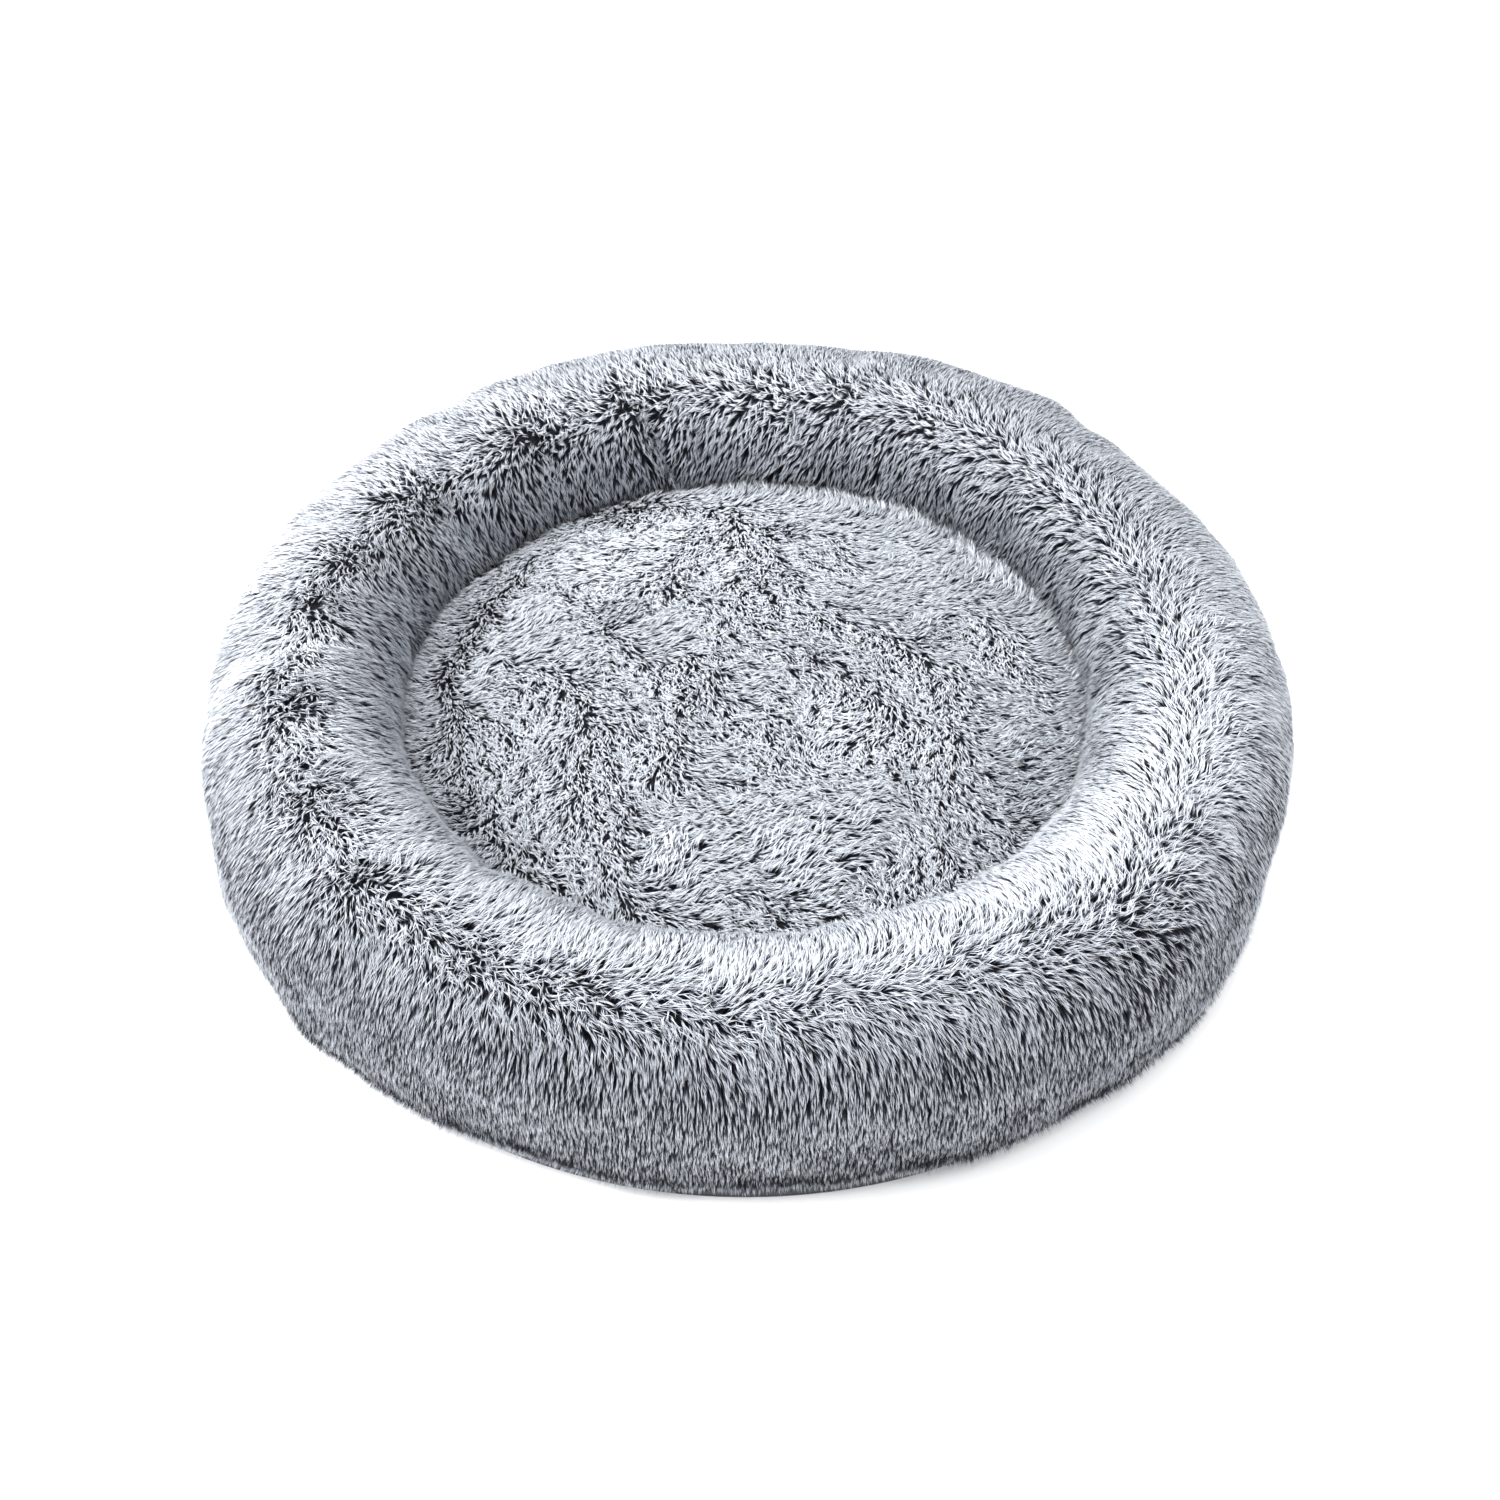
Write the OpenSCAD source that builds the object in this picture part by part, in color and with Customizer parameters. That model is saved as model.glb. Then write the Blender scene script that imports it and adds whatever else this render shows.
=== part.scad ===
// Round plush pet cushion bed: a removable long-pile cover over a fibre-filled ring
// and a fibre-filled seat pad, closed by a curved zip at the back of the base edge.
// Millimetres, +Z up. The origin is the centre of the underside, on the floor.
// The front is -Y, and the zip runs round the back, +Y.

/* [Bed] */
// Overall diameter
bed_d = 900; // [800:10:1000]
// Height of the ring
ring_h = 180; // [160:5:200]
// Width of the ring's tube
ring_w = 160; // [140:5:180]
// Thickness of the fur fabric, backing and lying pile together
fur_t = 12; // [10:0.5:14]

/* [Seat] */
// Height of the seam where the seat meets the ring
seat_seam_z = 84; // [70:1:88]
// Rise of the seat's middle above that seam
seat_crown = 24; // [10:1:30]

/* [Base] */
// Thickness of the base fabric with its printed grip dots
base_t = 1.6; // [1.2:0.1:2]
// Height at which the fur's hem meets the base seam
hem_z = 8; // [7:0.5:8]
// Width of the folded binding inside the base seam
binding_w = 12; // [10:0.5:14]

/* [Inserts] */
// Thickness of the lining cloth
lining_t = 1.5; // [1:0.1:2]
// Ease between the cover and the pads inside it
ease = 0.2; // [0.1:0.05:0.5]

/* [Zip] */
// Arc covered by the zip, centred on the back
zip_span = 150; // [120:5:160]
// Height of the zip's centre line
zip_z = 13; // [12.8:0.1:13.4]
// Thickness of the zip tape
tape_t = 0.8; // [0.6:0.1:0.8]
// Gap between the two coils
chain_gap = 1.2; // [1.1:0.1:1.4]
// Length of the pull tab from its hinge pin
pull_len = 26; // [20:1:28]

/* [Hidden] */
$fn = 180;

fur_grey = [0.68, 0.70, 0.73];
fur_pale = [0.78, 0.80, 0.82];
lining_white = [0.93, 0.93, 0.90];
fibre_white = [0.98, 0.98, 0.97];
base_grey = [0.22, 0.23, 0.26];
zip_grey = [0.34, 0.36, 0.40];
zip_metal = [0.75, 0.76, 0.78];

// Ring section: two half superellipses, rounder above the middle than below it.
// Angles run from the outside, over the crown, down the inside and under the foot.
crown_roundness = 2.2;
foot_roundness = 4;
arc_steps = 20;
outside_at = 0;
crown_at = 90;
inside_at = 180;
foot_at = 270;
tube_r = ring_w / 2;
crown_r = bed_d / 2 - tube_r;
mid_z = ring_h / 2;

// Seat, and the pad under it
seat_r = crown_r - tube_r;
pad_r = seat_r + fur_t - 2;
pad_low = base_t + ease;
pad_seam_z = seat_seam_z / 2;
pad_shoulder_z = seat_seam_z - 2 * fur_t;

// Wall that carries the zip, and the recess above it
zip_mouth_z = 25.5;
tape_r = crown_r + tube_r - 17.4;
zip_from = 90 - zip_span / 2;
zip_to = 90 + zip_span / 2;
tape_end_gap = 0.1;
recess_in = 30;
recess_out = 40;

// Coils and their end stops
bead_out = 2.2;
bead_w = 2.4;
bead_r = tape_r + tape_t;
stop_in = 3.2;
stop_len = 3;
stop_out = 2.6;
stop_half_w = 3.2;
stop_half_arc = arc_of(stop_len / 2);
bead_from = zip_from + stop_in + stop_half_arc;
bead_span = zip_span - 2 * (stop_in + stop_half_arc);

// Slider at the closed end: two plates joined by a thin divider between the coils
slider_at = zip_to - 4.5;
slider_len = 11;
slider_w = 8.5;
nose_w = 6.6;
plate_t = 1.2;
plate_air = 0.4;
flange_t = 0.8;
flange_in = 1.8;
divider_t = 0.5;
divider_len = 2.4;
divider_y = -4.9;
inner_plate_r = tape_r - plate_air - plate_t;
outer_plate_r = bead_r + bead_out + plate_air;
pin_r = 0.7;
pin_out = 2.4;
pin_at_r = outer_plate_r + plate_t + pin_out;
ear_t = 0.8;
ear_half_gap = 2.3;
ear_half_len = 1.3;
ear_over = 0.9;

// Pull tab, lying flat along the zip
eye_r = 1;
eye_wall = 0.9;
eye_half_w = 2;
neck_len = 3.2;
tab_t = 1.6;
tab_half_w = 3.5;
tab_slot_r = 1.2;
tab_slot_len = 8;

// Degrees of arc that a length covers on the zip
function arc_of(length) = length / tape_r * 180 / PI;

function spread(v, roundness) = sign(v) * pow(abs(v), 2 / roundness);

// A point of the ring's section as [radius, height], on the skin that lies inset below the pile
function ring_point(inset, at) =
    let (above = sin(at) > 0)
    let (roundness = above ? crown_roundness : foot_roundness)
    let (lift = inset > fur_t ? base_t + inset - fur_t : base_t)
    let (half_h = above ? mid_z - inset : mid_z - lift)
    [crown_r + (tube_r - inset) * spread(cos(at), roundness),
     mid_z + half_h * spread(sin(at), roundness)];

function ring_arc(inset, from, to) =
    [for (i = [0 : arc_steps]) ring_point(inset, from + (to - from) * i / arc_steps)];

// The seat's upper face, lowered by drop, between two radii
function seat_top(r) = seat_seam_z + seat_crown * (1 - pow(r / seat_r, 2));
function seat_arc(drop, from, to) =
    [for (i = [0 : arc_steps])
        let (r = from + (to - from) * i / arc_steps)
        [r, seat_top(r) - drop]];

// Upper outline of the seat pad, from its middle down to its side seam
function pad_dome(inset) = concat(
    seat_arc(fur_t + ease + inset, 0, seat_r - fur_t),
    [[pad_r - inset, pad_shoulder_z], [pad_r - inset, pad_seam_z]]);

// Lower outline of the seat pad, from its side seam back to its middle
function pad_foot(inset) = [
    [pad_r - inset, pad_seam_z], [pad_r - inset, pad_low + fur_t],
    [pad_r - fur_t, pad_low + inset], [0, pad_low + inset]];

// A section turned through an arc
module turned(start, span) {
    rotate([0, 0, start])
        rotate_extrude(angle = span)
            children();
}

// A flat-sided band turned through an arc
module flat_band(r, thick, low, high, start, span) {
    turned(start, span)
        translate([r, low])
            square([thick, high - low]);
}

// Cuts away what lies below the hem
module below_hem() {
    translate([0, 0, -1])
        cylinder(r = bed_d, h = hem_z + 1);
}

// Section of the outer wall's fur: from the crown seam, down the outside, to the foot
module outer_fur_section() {
    polygon(concat(
        ring_arc(0, crown_at, outside_at), ring_arc(0, 360, foot_at),
        ring_arc(fur_t, foot_at, 360), ring_arc(fur_t, outside_at, crown_at)));
}

// Section of the inner wall's fur: from the crown seam, down the inside, to the seat seam
module inner_fur_section() {
    polygon(concat(
        ring_arc(0, crown_at, inside_at), [[seat_r, seat_seam_z], [seat_r + fur_t, seat_seam_z]],
        ring_arc(fur_t, inside_at, crown_at)));
}

// Section of one skin of the ring's lining, a half turn from an angle
module ring_liner_section(from) {
    outer_inset = fur_t + ease;
    inner_inset = outer_inset + lining_t;
    polygon(concat(
        ring_arc(outer_inset, from, from + 90), ring_arc(outer_inset, from + 90, from + 180),
        ring_arc(inner_inset, from + 180, from + 90), ring_arc(inner_inset, from + 90, from)));
}

module outer_fur_front() {
    color(fur_grey)
        difference() {
            turned(180, 180)
                outer_fur_section();
            below_hem();
        }
}

// The rear half stops short above the zip
module outer_fur_rear() {
    color(fur_grey)
        difference() {
            turned(0, 180)
                outer_fur_section();
            below_hem();
            flat_band(tape_r - recess_in, recess_in + recess_out, -1, zip_mouth_z, zip_from, zip_span);
        }
}

module inner_fur_front() {
    color(fur_pale)
        turned(180, 180)
            inner_fur_section();
}

module inner_fur_rear() {
    color(fur_pale)
        turned(0, 180)
            inner_fur_section();
}

// The seat's fur, with its seam allowance tucked under the inner wall
module seat_fur() {
    allowance_r = seat_r + fur_t - ease;
    color(fur_pale)
        turned(0, 360)
            polygon(concat(
                seat_arc(0, 0, seat_r),
                [[allowance_r, seat_seam_z], [allowance_r, seat_seam_z - fur_t]],
                seat_arc(fur_t, seat_r, 0)));
}

module base_panel() {
    color(base_grey)
        cylinder(r = tape_r, h = base_t);
}

module base_seam_binding() {
    color(base_grey)
        flat_band(tape_r - binding_w, binding_w, base_t, hem_z, 0, 360);
}

// Blank folded label sewn into the base seam, past the closed end of the zip
module care_label() {
    label_w = 30;
    label_out = 14;
    label_t = 0.6;
    label_z = 4;
    label_at = zip_to + 8;
    seam_gap = 0.3;
    color(lining_white)
        rotate([0, 0, label_at])
            translate([tape_r + seam_gap, -label_w / 2, label_z])
                cube([label_out, label_w, label_t]);
}

module ring_liner_upper() {
    color(lining_white)
        turned(0, 360)
            ring_liner_section(outside_at);
}

module ring_liner_lower() {
    color(lining_white)
        turned(0, 360)
            ring_liner_section(inside_at);
}

module ring_filling() {
    inset = fur_t + ease + lining_t;
    color(fibre_white)
        turned(0, 360)
            polygon(concat(
                ring_arc(inset, 0, 90), ring_arc(inset, 90, 180),
                ring_arc(inset, 180, 270), ring_arc(inset, 270, 360)));
}

module seat_liner_top() {
    color(lining_white)
        turned(0, 360)
            difference() {
                polygon(concat(pad_dome(0), [[0, pad_seam_z]]));
                polygon(concat(pad_dome(lining_t), [[pad_r - lining_t, pad_low], [0, pad_low]]));
            }
}

module seat_liner_bottom() {
    color(lining_white)
        turned(0, 360)
            difference() {
                polygon(concat([[0, pad_seam_z]], pad_foot(0)));
                polygon(concat([[0, seat_seam_z], [pad_r - lining_t, seat_seam_z]], pad_foot(lining_t)));
            }
}

module seat_filling() {
    color(fibre_white)
        turned(0, 360)
            polygon(concat(pad_dome(lining_t), pad_foot(lining_t)));
}

// One zip tape, as a band between two heights
module zip_tape(low, high) {
    color(zip_grey)
        flat_band(tape_r, tape_t, low, high, zip_from + tape_end_gap, zip_span - 2 * tape_end_gap);
}

module zip_tape_upper() {
    zip_tape(zip_z + chain_gap / 2, zip_mouth_z);
}

module zip_tape_lower() {
    zip_tape(base_t + ease, zip_z - chain_gap / 2);
}

// One coil, as the rounded bead that its turns make along the tape's edge
module zip_coil(low) {
    color(zip_grey)
        turned(bead_from, bead_span)
            translate([bead_r, low])
                intersection() {
                    square([bead_out, bead_w]);
                    translate([0, bead_w / 2])
                        circle(r = bead_out, $fn = 32);
                }
}

module zip_coil_upper() {
    zip_coil(zip_z + chain_gap / 2);
}

module zip_coil_lower() {
    zip_coil(zip_z - chain_gap / 2 - bead_w);
}

// A metal stop across both coils at each end of the chain
module zip_end_stops() {
    color(zip_metal)
        for (at = [zip_from + stop_in, zip_to - stop_in])
            rotate([0, 0, at])
                translate([bead_r, -stop_len / 2, zip_z - stop_half_w])
                    cube([stop_out, stop_len, 2 * stop_half_w]);
}

// Places a shape drawn at the origin on the slider, with X out of the bed and Y along the zip
module on_slider(r) {
    rotate([0, 0, slider_at])
        translate([r, 0, zip_z])
            children();
}

// One slider plate in the YZ plane, narrower at the nose
module slider_plate() {
    half_len = slider_len / 2;
    half_w = slider_w / 2;
    half_nose = nose_w / 2;
    rotate([90, 0, 90])
        linear_extrude(plate_t)
            polygon([
                [-half_len, -half_w], [half_len / 3, -half_w], [half_len, -half_nose],
                [half_len, half_nose], [half_len / 3, half_w], [-half_len, half_w]]);
}

module zip_slider() {
    flange_len = slider_len * 2 / 3;
    color(zip_metal) {
        on_slider(inner_plate_r)
            slider_plate();
        on_slider(outer_plate_r)
            slider_plate();
        on_slider(inner_plate_r + plate_t / 2)
            translate([0, divider_y, -divider_t / 2])
                cube([outer_plate_r - inner_plate_r, divider_len, divider_t]);
        for (side = [-1, 1]) {
            on_slider(outer_plate_r - flange_in)
                translate([0, -slider_len / 2, side * (slider_w - flange_t) / 2 - flange_t / 2])
                    cube([flange_in + plate_t / 2, flange_len, flange_t]);
            on_slider(outer_plate_r + plate_t / 2)
                translate([0, -ear_half_len, side * (ear_half_gap + ear_t / 2) - ear_t / 2])
                    cube([plate_t / 2 + pin_out + ear_over, 2 * ear_half_len, ear_t]);
        }
        on_slider(pin_at_r)
            cylinder(r = pin_r, h = 2 * ear_half_gap + ear_t, center = true);
    }
}

// Pull tab with an eye round the slider's pin and a slot near its end
module zip_pull() {
    eye_out = eye_r + eye_wall;
    tab_len = pull_len - neck_len - tab_half_w;
    color(zip_metal)
        on_slider(pin_at_r)
            difference() {
                union() {
                    cylinder(r = eye_out, h = 2 * eye_half_w, center = true);
                    translate([-tab_t / 2, -neck_len - 1, -eye_half_w])
                        cube([tab_t, neck_len + 1, 2 * eye_half_w]);
                    translate([-tab_t / 2, -neck_len - tab_len, -tab_half_w])
                        cube([tab_t, tab_len, 2 * tab_half_w]);
                    translate([0, -neck_len - tab_len, 0])
                        rotate([0, 90, 0])
                            cylinder(r = tab_half_w, h = tab_t, center = true);
                }
                cylinder(r = eye_r, h = 4 * eye_half_w, center = true);
                for (end = [0, tab_slot_len])
                    translate([0, -neck_len - tab_len + end, 0])
                        rotate([0, 90, 0])
                            cylinder(r = tab_slot_r, h = 2 * tab_t, center = true);
                translate([-tab_t, -neck_len - tab_len, -tab_slot_r])
                    cube([2 * tab_t, tab_slot_len, 2 * tab_slot_r]);
            }
}

outer_fur_front();
outer_fur_rear();
inner_fur_front();
inner_fur_rear();
seat_fur();
base_panel();
base_seam_binding();
care_label();
ring_liner_upper();
ring_liner_lower();
ring_filling();
seat_liner_top();
seat_liner_bottom();
seat_filling();
zip_tape_upper();
zip_tape_lower();
zip_coil_upper();
zip_coil_lower();
zip_end_stops();
zip_slider();
zip_pull();
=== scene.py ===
"""Looks of the round plush pet bed: lumpy fur panels with a tufted pile, the base cloth, the zip and the
stuffed pads inside. Metres, +Z up, front at -Y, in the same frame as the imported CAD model."""
import math

import bpy
import numpy as np
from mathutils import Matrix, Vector


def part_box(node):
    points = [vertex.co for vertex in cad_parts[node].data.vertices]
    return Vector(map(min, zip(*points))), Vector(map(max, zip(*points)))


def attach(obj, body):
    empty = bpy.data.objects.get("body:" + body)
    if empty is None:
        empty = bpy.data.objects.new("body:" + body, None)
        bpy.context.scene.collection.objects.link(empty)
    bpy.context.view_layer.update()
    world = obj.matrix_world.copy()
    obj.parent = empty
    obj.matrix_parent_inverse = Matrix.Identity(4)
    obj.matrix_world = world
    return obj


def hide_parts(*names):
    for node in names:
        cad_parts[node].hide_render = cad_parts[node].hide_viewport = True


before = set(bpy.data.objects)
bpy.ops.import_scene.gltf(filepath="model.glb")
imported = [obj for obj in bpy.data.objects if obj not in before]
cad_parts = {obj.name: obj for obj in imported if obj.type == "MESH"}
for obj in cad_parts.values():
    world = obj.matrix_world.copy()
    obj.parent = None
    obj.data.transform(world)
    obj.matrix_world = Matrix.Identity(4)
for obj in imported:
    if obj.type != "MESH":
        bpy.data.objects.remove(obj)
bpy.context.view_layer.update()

MM = 0.001
TURN = 2 * math.pi

# ------------------------ sizes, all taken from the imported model

BED_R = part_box("outer_fur_front")[1].x
CROWN_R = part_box("inner_fur_front")[1].x
TUBE_R = BED_R - CROWN_R
SEAT_R = CROWN_R - TUBE_R
RING_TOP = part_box("inner_fur_front")[1].z
MID_Z = RING_TOP / 2
SEAM_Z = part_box("inner_fur_front")[0].z
SEAT_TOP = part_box("seat_fur")[1].z
SEAT_CROWN = SEAT_TOP - SEAM_Z
HEM_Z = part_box("outer_fur_front")[0].z
BASE_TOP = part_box("base_panel")[1].z
BASE_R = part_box("base_panel")[1].x
FUR_T = SEAM_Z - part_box("seat_fur")[0].z
PAD_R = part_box("seat_liner_top")[1].x
PAD_SEAM_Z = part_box("seat_liner_top")[0].z
PAD_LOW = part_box("seat_liner_bottom")[0].z
LINER_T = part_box("seat_filling")[0].z - PAD_LOW
LINER_INSET = BED_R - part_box("ring_liner_upper")[1].x
ZIP_MOUTH_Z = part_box("zip_tape_upper")[1].z
ZIP_HALF_ARC = math.acos(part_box("zip_tape_upper")[0].y / BASE_R)
SLIDER_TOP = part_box("zip_slider")[1].z

# ------------------------ small helpers


def unit(v):
    """Rows of v at length one."""
    return v / np.maximum(np.linalg.norm(v, axis=-1, keepdims=True), 1e-12)


def smooth_step(low, high, x):
    """0 below low, 1 above high, and a smooth rise between."""
    t = np.clip((x - low) / (high - low), 0, 1)
    return t * t * (3 - 2 * t)


def turned(phi, azimuth):
    """Degrees from an azimuth in degrees to phi in radians, the short way round."""
    return np.degrees(np.angle(np.exp(1j * (phi - math.radians(azimuth)))))


def ripple(u, v, seed, waves_u, waves_v, count=14):
    """Smooth noise of about -1 to 1 over a surface that closes on itself as u goes from 0 to one turn."""
    draw = np.random.default_rng(seed)
    total = np.zeros(np.broadcast(u, v).shape)
    for _ in range(count):
        around = draw.integers(waves_u[0], waves_u[1] + 1) * draw.choice([-1, 1])
        across = draw.uniform(*waves_v)
        total = total + np.sin(around * u + across * v + draw.uniform(0, TURN))
    return total / math.sqrt(count / 2) / 1.6


def field_noise(x, y, seed, size, count=14):
    """Smooth noise of about -1 to 1 over a plane, with features of about size."""
    draw = np.random.default_rng(seed)
    total = np.zeros(x.shape)
    for _ in range(count):
        heading = draw.uniform(0, TURN)
        k = TURN / size * draw.uniform(0.45, 1.0)
        total = total + np.sin(k * (x * math.cos(heading) + y * math.sin(heading)) + draw.uniform(0, TURN))
    return total / math.sqrt(count / 2) / 1.6


def mesh_object(name, points, faces):
    """A mesh piece from points and faces, all faces with the same number of corners."""
    faces = np.asarray(faces, np.int32)
    mesh = bpy.data.meshes.new(name)
    mesh.vertices.add(len(points))
    mesh.vertices.foreach_set("co", np.asarray(points, np.float32).ravel())
    mesh.loops.add(faces.size)
    mesh.loops.foreach_set("vertex_index", faces.ravel())
    mesh.polygons.add(len(faces))
    mesh.polygons.foreach_set("loop_start", np.arange(0, faces.size, faces.shape[1], dtype=np.int32))
    mesh.polygons.foreach_set("use_smooth", np.full(len(faces), True))
    mesh.update(calc_edges=True)
    piece = bpy.data.objects.new(name, mesh)
    bpy.context.scene.collection.objects.link(piece)
    return piece


def grid_faces(columns, rows, closed=False, closed_rows=False):
    """Quads over a grid of points held column by column, facing the side with columns anticlockwise."""
    i = np.arange(columns if closed else columns - 1)[:, None]
    j = np.arange(rows if closed_rows else rows - 1)[None, :]
    n, m = (i + 1) % columns, (j + 1) % rows
    return np.stack([i * rows + j, n * rows + j, n * rows + m, i * rows + m], -1).reshape(-1, 4)


def hub_faces(ring, up):
    """Quads that fill a ring of an even number of points."""
    count = len(ring)
    faces = [[ring[k], ring[k + 1], ring[count - 2 - k], ring[count - 1 - k]] for k in range(count // 2 - 1)]
    return np.array(faces) if up else np.array(faces)[:, ::-1]


def slab_of(outer, inner, kept=None, closed=False, hub=None):
    """Points and quads of a closed slab between two grids of the same shape, over the kept quads. hub adds
    quads that fill the grid's middle."""
    columns, rows = outer.shape[:2]
    size = columns * rows
    face = grid_faces(columns, rows, closed)
    if kept is not None:
        face = face[kept.ravel()]
    if hub is not None:
        face = np.concatenate([face, hub])
    edges = np.concatenate([face[:, [k, (k + 1) % 4]] for k in range(4)])
    _, first, times = np.unique(edges.min(1) * size + edges.max(1), return_index=True, return_counts=True)
    rim = edges[first[times == 1]]
    sides = np.stack([rim[:, 1], rim[:, 0], rim[:, 0] + size, rim[:, 1] + size], -1)
    faces = np.concatenate([face, face[:, ::-1] + size, sides])
    used, faces = np.unique(faces, return_inverse=True)
    return np.concatenate([outer.reshape(-1, 3), inner.reshape(-1, 3)])[used], faces.reshape(-1, 4)


def spun(phi, r, z):
    """Points at radius r and height z, columns round the Z axis."""
    return np.stack(np.broadcast_arrays(r * np.cos(phi), r * np.sin(phi), z), -1)


def dress(piece, material):
    """Gives the piece its only material."""
    piece.data.materials.clear()
    piece.data.materials.append(material)


def on_bed(piece, slot, material, *nodes):
    """Gives the piece its material; slot is not used. It moves with the bed and stands for the CAD nodes."""
    dress(piece, material)
    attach(piece, "bed")
    if nodes:
        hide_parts(*nodes)
    return piece


# ------------------------ materials


def new_material(name):
    """A material with its nodes, links, and Principled shader."""
    mat = bpy.data.materials.new(name)
    mat.use_nodes = True
    nodes = mat.node_tree.nodes
    return mat, nodes, mat.node_tree.links, nodes["Principled BSDF"]


def add_node(nodes, kind, **values):
    """A new node with some of its inputs set. Underscores in the names stand for spaces."""
    node = nodes.new(kind)
    for name, value in values.items():
        node.inputs[name.replace("_", " ")].default_value = value
    return node


def ramp(nodes, stops):
    """A colour ramp through (place, colour) stops."""
    node = nodes.new("ShaderNodeValToRGB")
    elements = node.color_ramp.elements
    while len(elements) < len(stops):
        elements.new(0.5)
    for element, (place, colour) in zip(elements, stops):
        element.position = place
        element.color = (*colour, 1)
    return node


def over_piece(nodes, links, kind, **values):
    """A texture node laid over the piece's own coordinates."""
    texture = add_node(nodes, kind, **values)
    place = nodes.new("ShaderNodeTexCoord")
    links.new(place.outputs["Object"], texture.inputs["Vector"])
    return texture


def colour_by(nodes, links, shader, factor, stops):
    """Colours the shader by a ramp over a node's output."""
    colours = ramp(nodes, stops)
    links.new(factor, colours.inputs["Fac"])
    links.new(colours.outputs["Color"], shader.inputs["Base Color"])


def relief_by(nodes, links, shader, height, strength, depth):
    """Bumps the shader's surface by a node's output."""
    relief = add_node(nodes, "ShaderNodeBump", Strength=strength, Distance=depth)
    links.new(height, relief.inputs["Height"])
    links.new(relief.outputs["Normal"], shader.inputs["Normal"])


def pile_material(name, stops):
    """Fibre colour from root to tip. The UV holds the strand's paleness across and its length upward."""
    mat, nodes, links, shader = new_material(name)
    uv = nodes.new("ShaderNodeUVMap")
    uv.uv_map = "OFBake"
    split = nodes.new("ShaderNodeSeparateXYZ")
    links.new(uv.outputs["UV"], split.inputs[0])
    colours = ramp(nodes, stops)
    links.new(split.outputs["Y"], colours.inputs["Fac"])
    paleness = nodes.new("ShaderNodeMath")
    paleness.operation = "MULTIPLY_ADD"
    paleness.inputs[1].default_value = 0.6
    paleness.inputs[2].default_value = 0.4
    links.new(split.outputs["X"], paleness.inputs[0])
    scaled = nodes.new("ShaderNodeVectorMath")
    scaled.operation = "SCALE"
    links.new(colours.outputs["Color"], scaled.inputs[0])
    links.new(paleness.outputs[0], scaled.inputs["Scale"])
    links.new(scaled.outputs[0], shader.inputs["Base Color"])
    shader.inputs["Roughness"].default_value = 0.55
    shader.inputs["Specular IOR Level"].default_value = 0.3
    return mat


ROOT = (0.010, 0.011, 0.017)
PILE_STOPS = [
    (0.0, ROOT), (0.50, (0.014, 0.016, 0.025)), (0.60, (0.10, 0.112, 0.145)),
    (0.69, (0.50, 0.53, 0.58)), (0.84, (0.80, 0.83, 0.88)),
]
ring_pile = pile_material("ring_pile", PILE_STOPS)
seat_pile = pile_material("seat_pile", PILE_STOPS)


def cloth_material(name, dark, pale, thread, roughness, bump=0.3, slant=False):
    """Woven cloth: two crossing sets of threads, thread metres apart, with uneven dye and a bump to match.
    slant turns the plain weave into a twill."""
    mat, nodes, links, shader = new_material(name)
    threads = []
    for direction in ("X", "Y"):
        wave = over_piece(nodes, links, "ShaderNodeTexWave", Scale=TURN / 20 / thread, Distortion=0.6,
                          Detail_Scale=2.0)
        wave.bands_direction = "DIAGONAL" if slant and direction == "X" else direction
        threads.append(wave)
    weave = nodes.new("ShaderNodeMath")
    weave.operation = "MULTIPLY"
    links.new(threads[0].outputs["Fac"], weave.inputs[0])
    links.new(threads[1].outputs["Fac"], weave.inputs[1])
    dye = over_piece(nodes, links, "ShaderNodeTexNoise", Scale=30, Detail=6)
    mixed = nodes.new("ShaderNodeMath")
    mixed.operation = "MULTIPLY_ADD"
    mixed.inputs[1].default_value = 0.55
    links.new(weave.outputs[0], mixed.inputs[0])
    links.new(dye.outputs["Fac"], mixed.inputs[2])
    colour_by(nodes, links, shader, mixed.outputs[0], [(0.25, dark), (0.95, pale)])
    relief_by(nodes, links, shader, weave.outputs[0], bump, thread / 2)
    shader.inputs["Roughness"].default_value = roughness
    return mat


def fibre_material():
    """Loose polyester fibre: a matted, faintly glossy white."""
    mat, nodes, links, shader = new_material("loose_fibre")
    noise = over_piece(nodes, links, "ShaderNodeTexNoise", Scale=90, Detail=8, Distortion=3)
    clumps = noise.outputs["Fac"]
    colour_by(nodes, links, shader, clumps, [(0.25, (0.62, 0.62, 0.60)), (0.7, (0.90, 0.90, 0.89))])
    relief_by(nodes, links, shader, clumps, 0.6, 2 * MM)
    shader.inputs["Roughness"].default_value = 0.7
    shader.inputs["Sheen Weight"].default_value = 0.3
    return mat


def worn_material(name, dark, pale, metallic, roughness, scale):
    """Metal or moulded plastic with a clouded, lightly scuffed surface."""
    mat, nodes, links, shader = new_material(name)
    wear = over_piece(nodes, links, "ShaderNodeTexNoise", Scale=scale, Detail=8).outputs["Fac"]
    colour_by(nodes, links, shader, wear, [(0.3, dark), (0.7, pale)])
    shine = add_node(nodes, "ShaderNodeMapRange", To_Min=roughness - 0.08, To_Max=roughness + 0.12)
    links.new(wear, shine.inputs["Value"])
    links.new(shine.outputs[0], shader.inputs["Roughness"])
    shader.inputs["Metallic"].default_value = metallic
    return mat


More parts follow.
